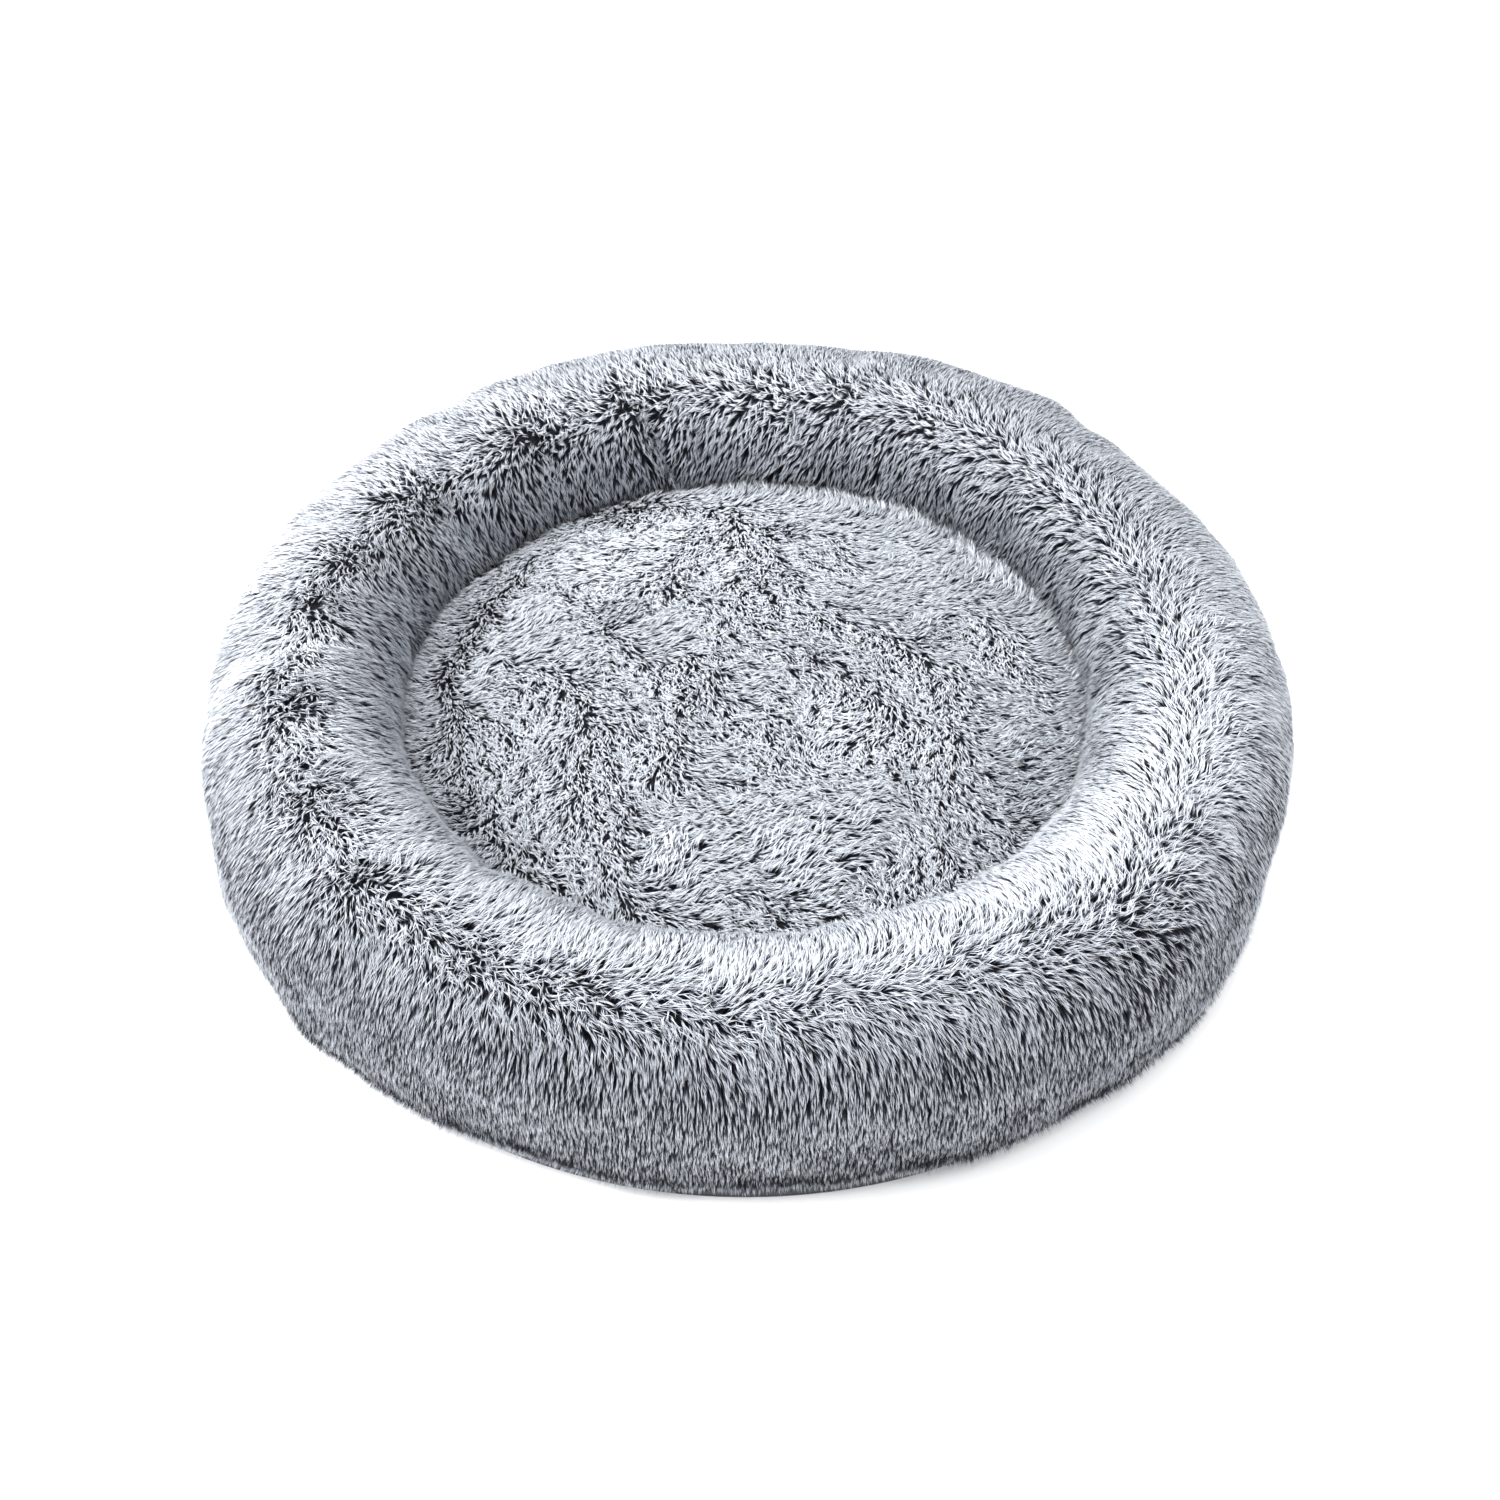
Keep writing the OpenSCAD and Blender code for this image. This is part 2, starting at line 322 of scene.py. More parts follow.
fur_backing = cloth_material("fur_backing", (0.006, 0.007, 0.010), (0.026, 0.028, 0.036), 1.2 * MM, 0.9)
lining = cloth_material("lining_cloth", (0.62, 0.62, 0.60), (0.88, 0.88, 0.86), 0.9 * MM, 0.8)
base_cloth = cloth_material("base_cloth", (0.030, 0.033, 0.040), (0.075, 0.080, 0.094), 0.8 * MM, 0.72)
base_binding = cloth_material(
    "base_binding", (0.022, 0.024, 0.030), (0.06, 0.064, 0.075), 1.1 * MM, 0.7, bump=0.4, slant=True)
label_satin = cloth_material(
    "label_satin", (0.70, 0.70, 0.69), (0.92, 0.92, 0.91), 0.35 * MM, 0.35, bump=0.15)
tape_weave = cloth_material(
    "zip_tape_weave", (0.045, 0.050, 0.060), (0.12, 0.13, 0.15), 0.7 * MM, 0.65, bump=0.4, slant=True)
loose_fibre = fibre_material()
coil_plastic = worn_material("zip_coil_plastic", (0.06, 0.066, 0.08), (0.12, 0.13, 0.15), 0.0, 0.35, 400)
grip_rubber = worn_material("grip_rubber", (0.012, 0.013, 0.016), (0.035, 0.037, 0.042), 0.0, 0.55, 60)
plated_metal = worn_material("plated_metal", (0.20, 0.21, 0.23), (0.40, 0.41, 0.44), 1.0, 0.34, 260)

# ------------------------ the ring's skin

CROWN_ROUNDNESS = 2.2
FOOT_ROUNDNESS = 4.0
RING_COLUMNS = 480
RING_ROWS = 120
SKIN_DEPTH = FUR_T - 1 * MM
BACKING_T = 0.9 * MM


def spread(v, roundness):
    """A sine or cosine reshaped for a rounded box: roundness 2 is an ellipse, more is squarer."""
    return np.sign(v) * np.abs(v) ** (2 / roundness)


def ring_point(inset, at):
    """Radius and height of the ring's section at an angle: 0 outside, then a quarter turn each to the crown,
    the inside and the foot."""
    above = np.sin(at) > 0
    roundness = np.where(above, CROWN_ROUNDNESS, FOOT_ROUNDNESS)
    lift = BASE_TOP + max(0.0, inset - FUR_T)
    half_h = np.where(above, MID_Z - inset, MID_Z - lift)
    r = CROWN_R + (TUBE_R - inset) * spread(np.cos(at), roundness)
    return r, MID_Z + half_h * spread(np.sin(at), roundness)


def even_angles(inset, start, end, rows):
    """Angles that split the section into even lengths, and the whole length."""
    fine = np.linspace(start, end, 6001)
    r, z = ring_point(inset, fine)
    way = np.append(0, np.cumsum(np.hypot(np.diff(r), np.diff(z))))
    return np.interp(np.linspace(0, way[-1], rows), way, fine), way[-1]


def angle_at_height(inset, start, end, height):
    """Angle between start and end at which the section passes a height."""
    fine = np.linspace(start, end, 6001)
    z = ring_point(inset, fine)[1]
    return fine[np.argmin(np.abs(z - height))]


HEM_ANGLE = angle_at_height(SKIN_DEPTH, -math.pi / 2, 0, HEM_Z)
SEAM_ANGLE = angle_at_height(SKIN_DEPTH, math.pi, 1.5 * math.pi, SEAM_Z)
SKIN_ANGLES, SECTION_LENGTH = even_angles(SKIN_DEPTH, HEM_ANGLE, SEAM_ANGLE, RING_ROWS)
SECTION_R = ring_point(SKIN_DEPTH, SKIN_ANGLES)[0]
CROWN_AT = float(np.interp(math.pi / 2, SKIN_ANGLES, np.linspace(0, 1, RING_ROWS)))

# Creases across the ring: azimuth in degrees, share of the way along the section, half width in degrees,
# half length as a share of the section, depth in millimetres
CREASES = [
    (186, 0.56, 3.4, 0.16, 8), (128, 0.86, 4.0, 0.12, 5), (106, 0.88, 1.8, 0.16, 13),
    (8, 0.80, 4.0, 0.16, 8), (22, 0.86, 3.6, 0.12, 5), (62, 0.88, 3.6, 0.10, 4),
    (150, 0.82, 3.8, 0.12, 6), (232, 0.84, 3.6, 0.12, 6), (300, 0.80, 3.6, 0.14, 6),
    (330, 0.52, 3.4, 0.14, 4), (265, 0.50, 4.0, 0.12, 3), (42, 0.45, 3.6, 0.16, 5),
]


def ring_bumps(phi, s):
    """How far the stuffing pushes the skin out, in metres."""
    lumps = 2.8 * ripple(phi, s, 11, (3, 7), (0, 7)) + 1.8 * ripple(phi, s, 12, (9, 20), (4, 16))
    for azimuth, place, half_width, half_length, depth in CREASES:
        slant = turned(phi, azimuth) + 14 * (s - place)
        lumps = lumps - depth * np.exp(-((slant / half_width) ** 2) - ((s - place) / half_length) ** 2)
    return lumps * MM * smooth_step(0.0, 0.06, s) * smooth_step(1.0, 0.95, s)


# Where the stuffed wall stands further out or in than a true circle: azimuth and half width in degrees, and
# millimetres at the foot and at the shoulder
OUT_OF_ROUND = [(2, 26, 7, 5), (-35, 22, 10, 3), (-88, 24, -10, -2), (-148, 22, 9, 3), (180, 26, 3, 3),
                (50, 30, 4, 8), (90, 20, 2, 4), (130, 26, 4, 8)]


def out_of_round(phi, r, z):
    """How far out of a true circle the ring's outside stands, in metres. Its foot is round at the zip."""
    outside = smooth_step(-0.2 * TUBE_R, 0.5 * TUBE_R, r - CROWN_R)
    high = smooth_step(MID_Z * 0.4, MID_Z * 1.5, z)
    low = (1 - high) * smooth_step(0, 0.2, np.radians(np.abs(turned(phi, 90))) - ZIP_HALF_ARC)
    total = 0.0
    for azimuth, half_width, at_foot, at_shoulder in OUT_OF_ROUND:
        window = np.exp(-((turned(phi, azimuth) / half_width) ** 2))
        total = total + window * (at_foot * low + at_shoulder * high)
    return total * outside * MM


def ring_tube(inset, angles, columns=RING_COLUMNS, dent=0.0):
    """Grid of points on the ring at an inset, with the lumps of its stuffing, dented by dent metres."""
    phi = np.linspace(0, TURN, columns, endpoint=False)[:, None]
    r, z = ring_point(inset, angles)
    out_r, out_z = np.gradient(z), -np.gradient(r)
    size = np.maximum(np.hypot(out_r, out_z), 1e-9)
    s = np.interp(angles, SKIN_ANGLES, np.linspace(0, 1, RING_ROWS))[None, :]
    push = ring_bumps(phi, s) - dent
    return spun(phi, r + push * out_r / size + out_of_round(phi, r, z), z + push * out_z / size)


class RingSkin:
    """The ring's backing cloth as a grid of points, columns round the bed and rows from hem to seat seam."""

    def __init__(self):
        self.points = ring_tube(SKIN_DEPTH, SKIN_ANGLES)
        self.around = unit(np.roll(self.points, -1, 0) - np.roll(self.points, 1, 0))
        self.along = unit(np.gradient(self.points, axis=1))
        self.normals = unit(np.cross(self.around, self.along))

    def at(self, phi, s):
        """Point, normal, and tangents round the bed and towards the seat, at each phi and s."""
        column = (phi / TURN % 1) * RING_COLUMNS
        row = np.clip(s, 0, 1) * (RING_ROWS - 1)
        i0 = np.floor(column).astype(int)
        j0 = np.minimum(np.floor(row).astype(int), RING_ROWS - 2)
        fi = (column - i0)[:, None]
        fj = (row - j0)[:, None]
        i0 = i0 % RING_COLUMNS
        i1 = (i0 + 1) % RING_COLUMNS

        def mix(grid):
            low = grid[i0, j0] * (1 - fi) + grid[i1, j0] * fi
            high = grid[i0, j0 + 1] * (1 - fi) + grid[i1, j0 + 1] * fi
            return low * (1 - fj) + high * fj

        return mix(self.points), unit(mix(self.normals)), unit(mix(self.around)), unit(mix(self.along))


ring_skin = RingSkin()

# ------------------------ the seat's skin


def seat_height(x, y):
    """Height of the seat's backing cloth."""
    r = np.hypot(x, y) / SEAT_R
    dome = SEAM_Z + SEAT_CROWN * (1 - r**2) - SKIN_DEPTH
    lumps = 2.0 * field_noise(x, y, 31, 0.16) + 1.1 * field_noise(x, y, 32, 0.07)
    return dome + lumps * MM * smooth_step(1.0, 0.8, r)


def seat_skin_at(x, y):
    """Point, normal, and tangents along X and Y, at each x and y of the seat."""
    step = 2 * MM
    z = seat_height(x, y)
    slope_x = (seat_height(x + step, y) - z) / step
    slope_y = (seat_height(x, y + step) - z) / step
    zero, one = np.zeros_like(x), np.ones_like(x)
    normal = unit(np.stack([-slope_x, -slope_y, one], -1))
    side = unit(np.stack([one, zero, slope_x], -1))
    ahead = unit(np.stack([zero, one, slope_y], -1))
    return np.stack([x, y, z], -1), normal, side, ahead


# ------------------------ pile

STRAND_GAP = 1.6 * MM
TUFT_SIZE = 2.35 * MM
WISP_SIZE = 9 * MM
DOWN = np.array([0.0, 0.0, -1.0])
SECTION_SHARES = np.linspace(0, 1, 401)


def section_packing():
    """How far along the section each share lies when counted in rows of tufts. Tufts are drawn out into
    streaks where the pile hangs, so their rows stand further apart on the walls."""
    wall = smooth_step(0.50, 0.36, SECTION_SHARES) + 0.5 * smooth_step(0.70, 0.82, SECTION_SHARES)
    step = SECTION_LENGTH / (len(SECTION_SHARES) - 1) / (1 + 3.0 * wall)
    return np.append(0, np.cumsum((step[1:] + step[:-1]) / 2))


TUFT_ROWS = section_packing()


def nearest_cell(x, y, size, wrap, seed):
    """The jittered cell centre nearest each point, and three random numbers that belong to that cell. Cells
    repeat every wrap along x, or never where wrap is None."""
    draw = np.random.default_rng(seed)
    columns = 1024 if wrap is None else max(1, round(wrap / size))
    width = size if wrap is None else wrap / columns
    jitter = draw.uniform(0.08, 0.92, (columns, 512, 2))
    own = draw.uniform(0, 1, (columns, 512, 3))
    cx = np.floor(x / width).astype(int)
    cy = np.floor(y / size).astype(int)
    best = np.full(x.shape, 1e9)
    near_x, near_y, value = x.copy(), y.copy(), np.zeros((len(x), 3))
    for dx in (-1, 0, 1):
        for dy in (-1, 0, 1):
            i, j = (cx + dx) % columns, (cy + dy) % 512
            px = (cx + dx + jitter[i, j, 0]) * width
            py = (cy + dy + jitter[i, j, 1]) * size
            gap = (px - x) ** 2 + (py - y) ** 2
            closer = gap < best
            best = np.where(closer, gap, best)
            near_x, near_y = np.where(closer, px, near_x), np.where(closer, py, near_y)
            value = np.where(closer[:, None], own[i, j], value)
    return near_x, near_y, value


def scattered(low_x, high_x, low_y, high_y, gap, draw):
    """One random point in each cell of a grid."""
    grid_x, grid_y = np.meshgrid(np.arange(low_x, high_x, gap), np.arange(low_y, high_y, gap), indexing="ij")
    x = grid_x.ravel() + draw.uniform(0, gap, grid_x.size)
    y = grid_y.ravel() + draw.uniform(0, gap, grid_y.size)
    return x, y


def strand_mesh(name, root, middle, tip, normal, width, tint, shift):
    """Closed three-sided spikes from root through middle to tip. tint is the paleness of each, and shift
    moves its pale part towards the root."""
    def ring_of(centre, heading, size):
        side = unit(np.cross(heading, normal))
        rise = unit(np.cross(side, heading))
        half = (size / 2)[:, None]
        return np.stack([centre - side * half, centre + side * half, centre + rise * half * 0.9], 1)

    low = ring_of(root, unit(middle - root), width * 0.9)
    mid = ring_of(middle, unit(tip - root), width)
    points = np.concatenate([low, mid, tip[:, None, :]], 1)
    count = len(root)
    faces = [(0, 1, 2)]
    for k in range(3):
        n = (k + 1) % 3
        faces += [(k, k + 3, n), (n, k + 3, n + 3), (k + 3, 6, n + 3)]
    all_faces = (np.array(faces)[None] + (np.arange(count) * 7)[:, None, None]).reshape(-1, 3)
    piece = mesh_object(name, points.reshape(-1, 3), all_faces)
    offset = np.array([-1, 1, 0, -1, 1, 0, 0]) * 0.004
    u = np.clip(tint[:, None], 0.005, 0.995) + offset
    at_root = np.clip(shift, 0, 0.4)
    at_middle = np.clip(0.5 + shift * np.where(shift > 0, 0.5, 1.1), 0, 0.9)
    at_tip = np.clip(1 + 0.3 * shift, 0.6, 1)
    v = 0.002 + 0.996 * np.repeat(np.stack([at_root, at_middle, at_tip], 1), (3, 3, 1), axis=1)
    uv = np.stack([u, v], -1).reshape(-1, 2)[all_faces.ravel()]
    layer = piece.data.uv_layers.new(name="OFBake")
    layer.data.foreach_set("uv", uv.astype(np.float32).ravel())
    return piece


def grow(name, here, tuft, comb, style, draw, limit=None):
    """Strands that stand on here and close towards their tuft's tip. here and tuft hold point and normal,
    and style the lift, length, droop, gather, tint and shift of each strand."""
    root, normal = here
    tuft_root, tuft_normal = tuft
    lift, length, droop, gather, tint, shift = style
    gather = gather[:, None]
    count = len(root)

    def aim(lift, droop):
        lying = np.cos(lift)[:, None] * comb
        return unit(lying + np.sin(lift)[:, None] * tuft_normal + droop[:, None] * DOWN)

    half = 0.5 * length[:, None]
    middle = tuft_root + half * aim(np.minimum(lift + math.radians(16), math.radians(88)), 0.3 * droop)
    tip = middle + half * aim(lift - math.radians(10), 1.3 * droop)
    own = root - tuft_root
    along = np.sum(own * comb, 1, keepdims=True) * comb
    across = own - along
    middle = middle + 0.9 * along + (1 - 0.4 * gather) * across + draw.normal(0, 0.0003, (count, 3))
    tip = tip + 0.6 * along + (1 - gather) * across + draw.normal(0, 0.0007, (count, 3))
    if limit is not None:
        tip, middle = limit(tip, middle)
    width = draw.uniform(0.52, 0.88, count) * MM
    return strand_mesh(name, root - normal * 0.4 * MM, middle, tip, normal, width, tint, shift)


# Where the pile stands open along the crown and shows its dark roots: azimuth in degrees, millimetres inside
# the crown, half length and half width in millimetres, and strength
PARTINGS = [
    (107, 46, 36, 38, 1.0), (84, 46, 38, 32, 0.8), (73, 36, 20, 24, 1.0), (126, 50, 44, 42, 1.0),
    (150, 40, 38, 34, 0.9), (166, 24, 26, 20, 0.8), (176, 14, 24, 20, 0.8), (196, 2, 34, 24, 0.8),
    (212, -5, 44, 28, 0.8), (226, -12, 48, 30, 0.7), (240, -18, 48, 30, 0.7), (252, -20, 44, 26, 0.65),
    (264, -18, 40, 22, 0.55), (277, -14, 36, 20, 0.55), (291, -10, 30, 18, 0.5), (302, -20, 38, 26, 0.7),
    (311, -34, 46, 34, 0.85), (322, -18, 28, 20, 0.5), (0, 28, 20, 14, 0.25), (12, 34, 26, 18, 0.35),
    (33, 38, 40, 26, 0.55), (56, 42, 34, 26, 0.7),
]


def parting_line(phi):
    """Distance inside the crown, in metres, at which the pile turns from outward to inward."""
    turn = np.degrees(phi) % 360
    places = np.array(sorted((p[0], p[1]) for p in PARTINGS), float)
    wrapped = np.concatenate([places - [360, 0], places, places + [360, 0]])
    line = np.interp(turn, wrapped[:, 0], wrapped[:, 1])
    return (line + 6 * ripple(phi, np.zeros_like(phi), 41, (11, 60), (0, 0))) * MM


def parting_strength(phi, inside):
    """1 where the pile stands wide open, 0 where it lies closed."""
    total = np.zeros_like(phi)
    for azimuth, place, half_length, half_width, strength in PARTINGS:
        along = np.radians(turned(phi, azimuth)) * CROWN_R / (half_length * MM)
        across = (inside - place * MM) / (half_width * MM)
        total = np.maximum(total, strength * np.exp(-(along**2) - across**2))
    return total


def scatter_comb(comb, normal, tuft_value, amount):
    """The comb turned about the normal by a random angle for each tuft, amount radians either way."""
    angle = ((tuft_value - 0.5) * 2 * amount)[:, None]
    return comb * np.cos(angle) + np.cross(normal, comb) * np.sin(angle)


def ring_style(phi, s, z, tuft, wisp):
    """Comb as parts round the bed and towards the seat, how far tufts stray from it, and the pile's lift,
    length, droop, gather, tint and shift. Tint and shift also carry painted shade over the ring's top and
    low on its wall, and painted light along the crest."""
    inside = (s - CROWN_AT) * SECTION_LENGTH
    mixed = 16 * (tuft[:, 2] - 0.5) + 14 * (wisp - 0.5)
    away = inside - parting_line(phi) + mixed * MM
    patchy = 0.85 + 0.28 * ripple(phi, s, 55, (20, 60), (10, 40))
    open_pile = np.clip(parting_strength(phi, inside) * patchy, 0, 1)
    towards = np.tanh(away / 0.024)
    near = np.exp(-((away / 0.028) ** 2))
    crest = np.exp(-(((inside - 0.012) / 0.036) ** 2)) * (1 - open_pile)
    on_inner = smooth_step(0.01, 0.05, away) * (1 - crest)
    on_wall = smooth_step(0.54, 0.36, s)
    swirl = (0.12 * ripple(phi, s, 51, (10, 34), (6, 30)) + 0.10 * (wisp - 0.5)) * (1 - 0.6 * on_wall)
    swirl = swirl + near * (1 - 0.5 * open_pile)
    eddy = 0.22 * ripple(phi, s, 52, (12, 34), (14, 40)) + 0.3 * (wisp - 0.5)
    swirl = swirl + eddy * np.maximum(near, on_inner)
    swirl = swirl + 0.8 * on_inner * np.exp(-((turned(phi, 86) / 17) ** 2))
    size = np.maximum(np.hypot(swirl, towards), 1e-6)
    foot = smooth_step(0.20, 0.0, s)
    hem = smooth_step(0.12, 0.02, s)
    seam = smooth_step(0.93, 0.99, s)
    lift = 26 + 8 * on_inner - 3 * crest + 6 * near + 30 * open_pile + 55 * hem
    lift = lift + 4 * ripple(phi, s, 53, (20, 60), (14, 50))
    lift = lift + 8 * (tuft[:, 0] - 0.5) * (1 + 2 * open_pile - 0.5 * on_wall)
    length = 18.4 + 1.0 * ripple(phi, s, 54, (16, 50), (10, 40)) + 2.5 * (tuft[:, 1] - 0.5) - 1.5 * foot
    droop = (0.24 - 0.10 * on_inner) * (1 - hem) - 0.8 * hem
    stray = 0.14 - 0.08 * on_wall + 0.55 * near + 0.9 * open_pile + 0.2 * on_inner
    top = smooth_step(0.68 * RING_TOP, 0.92 * RING_TOP, z)
    rear = smooth_step(120, 60, np.abs(turned(phi, 90)))
    tint = 0.96 + (0.08 + 0.34 * on_wall) * (tuft[:, 2] - 0.5) + 0.04 * (wisp - 0.5)
    # Painted shade: the pile's pale tips are darkened over the ring's top, more at the rear, against the
    # strong overhead light there.
    tint = tint - (0.20 + 0.20 * rear) * top * (1 - 0.6 * open_pile)
    # Painted shade: the first term darkens the pile towards the bottom of the wall, standing in for the
    # wall's own shadow under its bulge.
    tint = tint - 0.34 * smooth_step(0.30, 0.0, s) - 0.3 * seam
    shift = 0.21 + (0.06 + 0.16 * on_wall) * (tuft[:, 0] - 0.5) - 0.26 * open_pile - 0.36 * on_wall
    # The foot term is more painted shade at the bottom of the wall.
    shift = shift - 0.16 * foot - 0.24 * on_inner * (1 - open_pile) - 0.1 * seam
    # Painted light: the crest is made paler where it faces the overhead lamp, less so at the rear.
    shift = shift + (0.26 - 0.18 * rear) * crest
    gather = 0.76 + 0.14 * on_wall + 0.08 * on_inner
    style = (np.radians(lift), length * MM, droop, gather, tint, shift)
    return swirl / size, towards / size, stray, style


def zip_angle(points):
    """Angle of each point from the middle of the zip."""
    return np.abs(np.arctan2(points[:, 1], points[:, 0]) - math.pi / 2)


def clear_of_zip(points, past):
    """True for points above the zip's mouth, or more than past radians beyond its ends."""
    return (zip_angle(points) >= ZIP_HALF_ARC + past) | (points[:, 2] > ZIP_MOUTH_Z)


def keep_off_floor(tip, middle):
    """Shortens strands that would reach the floor or the zip's slider."""
    low = 1.2 * MM + SLIDER_TOP * smooth_step(0.034, 0.014, zip_angle(tip) - ZIP_HALF_ARC)
    outside = np.hypot(tip[:, 0], tip[:, 1]) > CROWN_R
    share = np.clip((middle[:, 2] - low) / np.maximum(middle[:, 2] - tip[:, 2], 1e-6), 0.05, 1)
    share = np.where(outside & (tip[:, 2] < low), share, 1)[:, None]
    tip = middle + (tip - middle) * share
    tip[:, 2] = np.where(outside, np.maximum(tip[:, 2], low), tip[:, 2])
    middle[:, 2] = np.where(outside, np.maximum(middle[:, 2], low), middle[:, 2])
    return tip, middle


def strand_tint(style, own):
    """The style with each strand's own small differences in length, tint and shift."""
    lift, length, droop, gather, tint, shift = style
    tint, shift = tint + 0.40 * (own - 0.5), shift + 0.30 * (own - 0.5)
    return lift, length * (0.9 + 0.16 * own), droop, gather, tint, shift


def ring_pile_piece(name, start, span, low, high, seed):
    """Pile on one sector of the ring, between two shares of the section."""
    draw = np.random.default_rng(seed)
    mean_r = float(np.interp((low + high) / 2, np.linspace(0, 1, RING_ROWS), SECTION_R))
    around = start * mean_r, (start + span) * mean_r
    x, y = scattered(*around, 0, SECTION_LENGTH * (high - low), STRAND_GAP, draw)
    y = y + low * SECTION_LENGTH
    root, normal = ring_skin.at(x / mean_r, y / SECTION_LENGTH)[:2]
    kept = clear_of_zip(root, 0.012)
    x, y, root, normal = x[kept], y[kept], root[kept], normal[kept]
    turn = TURN * mean_r
    packed = np.interp(y / SECTION_LENGTH, SECTION_SHARES, TUFT_ROWS)
    tuft_x, tuft_row, tuft_value = nearest_cell(x, packed, TUFT_SIZE, turn, 61)
    tuft_phi, tuft_s = tuft_x / mean_r, np.interp(tuft_row, TUFT_ROWS, SECTION_SHARES)
    wisp = nearest_cell(tuft_x, tuft_s * SECTION_LENGTH, WISP_SIZE, turn, 62)[2][:, 0]
    tuft_root, tuft_normal, side, ahead = ring_skin.at(tuft_phi, np.clip(tuft_s, 0, 1))
    to_side, to_seat, stray, style = ring_style(tuft_phi, tuft_s, tuft_root[:, 2], tuft_value, wisp)
    comb = unit(side * to_side[:, None] + ahead * to_seat[:, None])
    comb = scatter_comb(comb, tuft_normal, tuft_value[:, 1], stray)
    style = strand_tint(style, draw.uniform(0, 1, len(x)))
    return grow(name, (root, normal), (tuft_root, tuft_normal), comb, style, draw, keep_off_floor)


def seat_style(x, y, tuft, wisp):
    """As ring_style, over the seat, with the comb along X and Y."""
    flow = math.radians(-55)
    azimuth = np.arctan2(y, x)
    r = np.hypot(x, y) / SEAT_R
    rim = smooth_step(0.80, 0.98, r) * smooth_step(8, 40, np.abs(turned(azimuth, 125)))
    heading = flow + np.angle(np.exp(1j * (azimuth - flow))) * rim
    whorl = 1.2 * field_noise(x, y, 71, 0.24) + 0.6 * field_noise(x, y, 72, 0.07)
    heading = heading + whorl * (1 - 0.7 * rim) + 1.1 * (wisp - 0.5)
    standing = smooth_step(0.6, 1.2, field_noise(x, y, 75, 0.08))
    lift = 29 + 4 * field_noise(x, y, 73, 0.04) + 20 * standing + 14 * rim + 12 * (tuft[:, 0] - 0.5)
    length = 15.5 + 1.0 * field_noise(x, y, 74, 0.06) + 2.5 * (tuft[:, 1] - 0.5)
    length = length + (3 + 5 * (wisp - 0.5)) * rim
    droop = 0.10 * (1 - rim)
    stray = 0.6 + 0.5 * standing
    tint = 0.98 + 0.16 * (tuft[:, 2] - 0.5) + 0.04 * (wisp - 0.5)
    # The rise towards the rim is painted light, paling the seat's edge against the shade the ring casts on
    # it.
    shift = 0.22 + 0.06 * smooth_step(0.35, 0.85, r) + 0.16 * (tuft[:, 0] - 0.5) - 0.14 * standing
    gather = np.full_like(x, 0.82)
    style = (np.radians(lift), length * MM, droop, gather, tint, shift)
    return np.cos(heading), np.sin(heading), stray, style


def seat_pile_piece(name, start, span, seed):
    """Pile on one sector of the seat."""
    draw = np.random.default_rng(seed)
    x, y = scattered(-SEAT_R, SEAT_R, -SEAT_R, SEAT_R, STRAND_GAP, draw)
    azimuth = np.arctan2(y, x) % TURN
    kept = (np.hypot(x, y) < SEAT_R) & (azimuth >= start) & (azimuth < start + span)
    x, y = x[kept], y[kept]
    tuft_x, tuft_y, tuft_value = nearest_cell(x, y, TUFT_SIZE, None, 81)
    wisp = nearest_cell(tuft_x, tuft_y, WISP_SIZE, None, 82)[2][:, 0]
    root, normal = seat_skin_at(x, y)[:2]
    tuft_root, tuft_normal, side, ahead = seat_skin_at(tuft_x, tuft_y)
    to_x, to_y, stray, style = seat_style(tuft_x, tuft_y, tuft_value, wisp)
    comb = unit(side * to_x[:, None] + ahead * to_y[:, None])
    comb = scatter_comb(comb, tuft_normal, tuft_value[:, 1], stray)
    style = strand_tint(style, draw.uniform(0, 1, len(x)))
    return grow(name, (root, normal), (tuft_root, tuft_normal), comb, style, draw)


# ------------------------ fur panels


def slab_object(name, outer, inner, **shape):
    """A mesh piece from slab_of's points and quads."""
    return mesh_object(name, *slab_of(outer, inner, **shape))


def ring_backing(name, start, low, high):
    """Backing cloth of half of one fur band, cut back above the zip."""
    first = int(round(start / TURN * RING_COLUMNS))
    i = (first + np.arange(0, RING_COLUMNS // 2 + 1, 2)) % RING_COLUMNS
    j = np.arange(round(low * (RING_ROWS - 1)), round(high * (RING_ROWS - 1)) + 1)
    outer = ring_skin.points[np.ix_(i, j)]
    inner = outer - ring_skin.normals[np.ix_(i, j)] * BACKING_T
    return slab_object(name, outer, inner, kept=clear_of_zip(outer[:-1, 1:].reshape(-1, 3), -0.03))


def panel_of(node, backing, piles, slot, pile):
    """One fur panel: a sheet of backing cloth that carries its pile."""
    on_bed(backing, slot, fur_backing, node)
    for piece in piles:
        on_bed(piece, slot, pile, node)


OUTER_SECTORS = 6
INNER_SECTORS = 3
for seed, (half, start) in enumerate({"rear": 0.0, "front": math.pi}.items(), 1):
    bands = {
        "outer": (0, CROWN_AT, OUTER_SECTORS, 0, CROWN_R + TUBE_R / 2),
        "inner": (CROWN_AT, 1, INNER_SECTORS, 20, CROWN_R - TUBE_R / 2),
    }
    for band, (low, high, sectors, offset, mean_r) in bands.items():
        node = f"{band}_fur_{half}"
        span = math.pi / sectors
        first = 100 * seed + offset
        grown = [
            ring_pile_piece(f"{node}_pile_{k + 1}", start + k * span, span, low, high, first + k)
            for k in range(sectors)]
        backing = ring_backing(f"{node}_backing", start, low, high)
        panel_of(node, backing, grown, "ring_fur", ring_pile)


